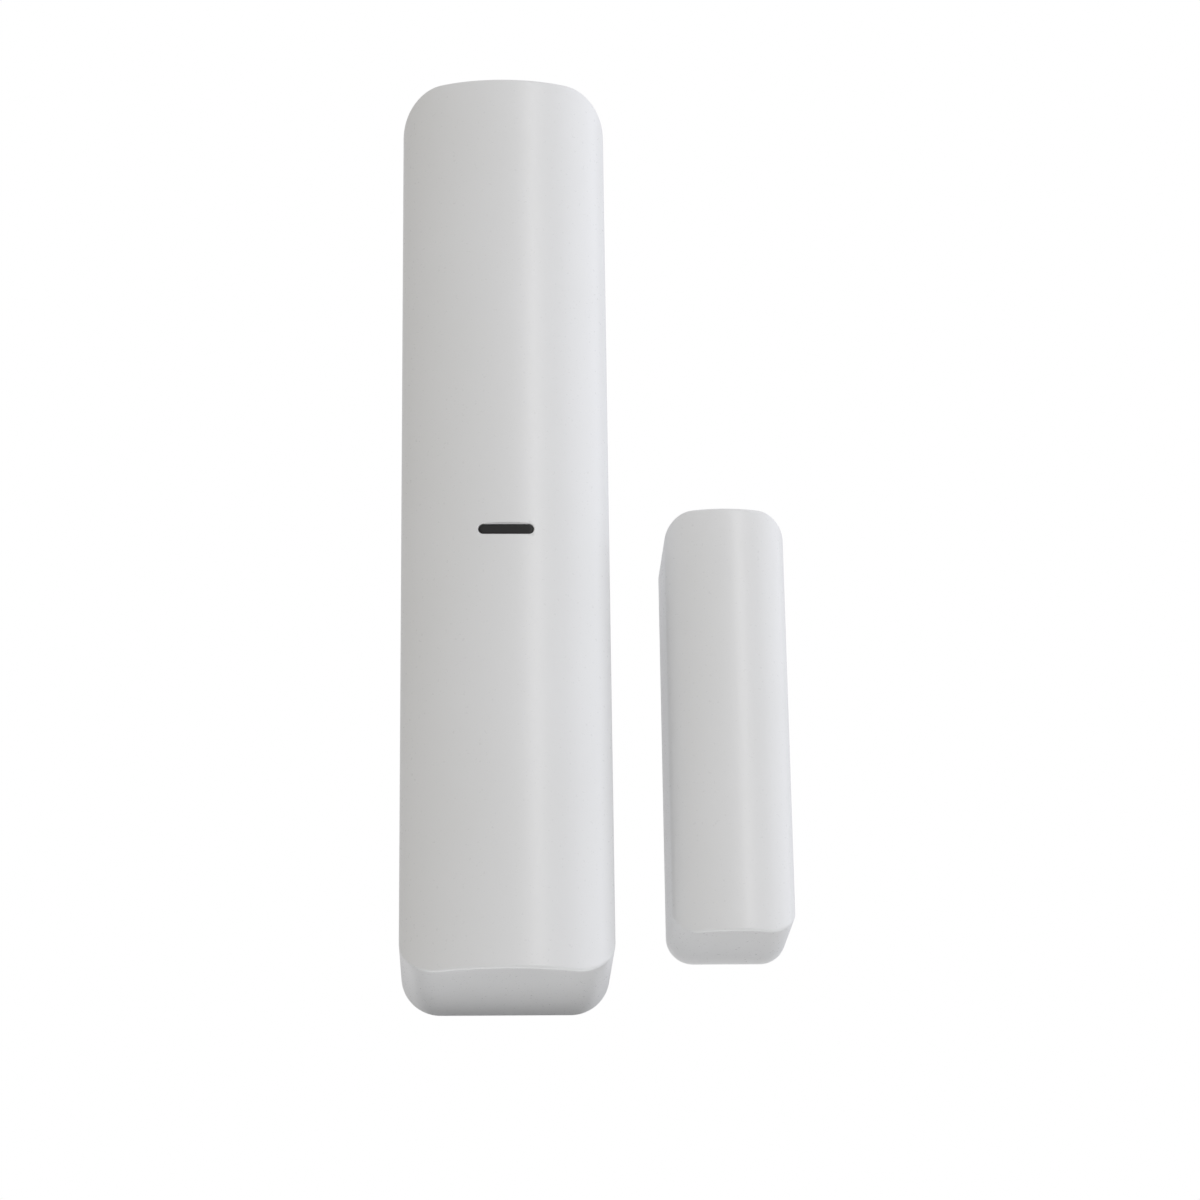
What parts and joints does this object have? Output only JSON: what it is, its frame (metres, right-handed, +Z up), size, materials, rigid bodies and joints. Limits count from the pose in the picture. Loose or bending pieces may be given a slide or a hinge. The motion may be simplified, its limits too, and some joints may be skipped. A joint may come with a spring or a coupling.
{
  "type": "door contact sensor",
  "caption": "Wireless magnetic door contact: a tall bowed detector with an indicator slot, and a short magnet unit beside it, each on a wall plate.",
  "frame": {"origin": "on the wall, behind the middle of the detector", "axes": "+Z up along the detector, +X to the right towards the magnet unit, +Y into the wall; the front faces -Y"},
  "size_m": [0.0371, 0.0207, 0.09],
  "materials": {
    "white_abs": "satin moulded ABS",
    "grey_abs": "matt moulded ABS",
    "smoked_lens": "smoked acrylic",
    "foam_tape": "closed-cell foam tape",
    "board_green": "solder mask over glass epoxy",
    "black_epoxy": "moulded epoxy",
    "nickel_plate": "nickel plated",
    "copper_wire": "enamelled copper",
    "reed_glass": "green tinted glass",
    "battery_wrap": "printed shrink sleeve, blank",
    "battery_core": "pressed powder",
    "terminal_green": "moulded polyamide",
    "led_white": "moulded lamp body",
    "capacitor_ceramic": "fired ceramic",
    "black_pvc": "flexible PVC",
    "grey_silicone": "silicone rubber",
    "magnet_nickel": "nickel plated, ground edges"
  },
  "bodies": {
    "wall_side": {"mounting_bracket": "white_abs", "adhesive_pad_upper": "foam_tape", "adhesive_pad_lower": "foam_tape"},
    "detector": {"back_chassis": "grey_abs", "circuit_board": "board_green", "board_screw_lower": "nickel_plate", "board_screw_upper": "nickel_plate", "microcontroller": "black_epoxy", "radio_shield": "nickel_plate", "crystal_can": "nickel_plate", "ceramic_capacitor_1": "capacitor_ceramic", "ceramic_capacitor_2": "capacitor_ceramic", "ceramic_capacitor_3": "capacitor_ceramic", "storage_capacitor": "nickel_plate", "indicator_led": "led_white", "reed_glass_lower": "reed_glass", "reed_glass_upper": "reed_glass", "reed_lead_lower_bottom": "nickel_plate", "reed_lead_lower_top": "nickel_plate", "reed_lead_upper_bottom": "nickel_plate", "reed_lead_upper_top": "nickel_plate", "antenna_coil": "copper_wire", "terminal_block": "terminal_green", "terminal_screw_left": "nickel_plate", "terminal_screw_right": "nickel_plate", "tamper_switch": "black_epoxy", "tamper_spring": "nickel_plate", "power_switch": "black_epoxy", "battery_can": "nickel_plate", "battery_core": "battery_core", "battery_cap": "nickel_plate", "battery_gasket": "black_pvc", "battery_sleeve": "battery_wrap", "battery_contact_positive": "nickel_plate", "battery_contact_negative": "nickel_plate", "battery_spring": "nickel_plate", "battery_lead": "black_pvc"},
    "cover": {"front_cover": "white_abs", "light_guide": "smoked_lens"},
    "tamper": {"tamper_plunger": "white_abs"},
    "button": {"power_button": "grey_silicone"},
    "door_side": {"magnet_bracket": "white_abs", "magnet_adhesive_pad": "foam_tape"},
    "magnet_holder": {"magnet_carrier": "grey_abs", "bar_magnet": "magnet_nickel"},
    "magnet_front": {"magnet_cover": "white_abs"}
  },
  "joints": [
    {"name": "detector_slide", "type": "slide", "parent": "wall_side", "child": "detector", "axis": [0, 0, 1], "range_m": [0, 0.005]},
    {"name": "cover_pull", "type": "slide", "parent": "detector", "child": "cover", "axis": [0, -1, 0], "range_m": [0, 0.025]},
    {"name": "tamper_slide", "type": "slide", "parent": "detector", "child": "tamper", "axis": [0, 1, 0], "range_m": [0, 0.0008], "deforming": ["tamper_spring"]},
    {"name": "button_press", "type": "slide", "parent": "detector", "child": "button", "axis": [0, -1, 0], "range_m": [0, 0.00045], "stiffness_N_per_m": 500},
    {"name": "door_travel", "type": "slide", "parent": "wall_side", "child": "door_side", "axis": [1, 0, 0], "range_m": [0, 0.03]},
    {"name": "magnet_slide", "type": "slide", "parent": "door_side", "child": "magnet_holder", "axis": [0, 0, 1], "range_m": [0, 0.004]},
    {"name": "magnet_cover_pull", "type": "slide", "parent": "magnet_holder", "child": "magnet_front", "axis": [0, -1, 0], "range_m": [0, 0.015]}
  ],
  "couplings": [
    {"joint": "tamper_slide", "follows": "detector_slide", "ratio": 0.16}
  ]
}
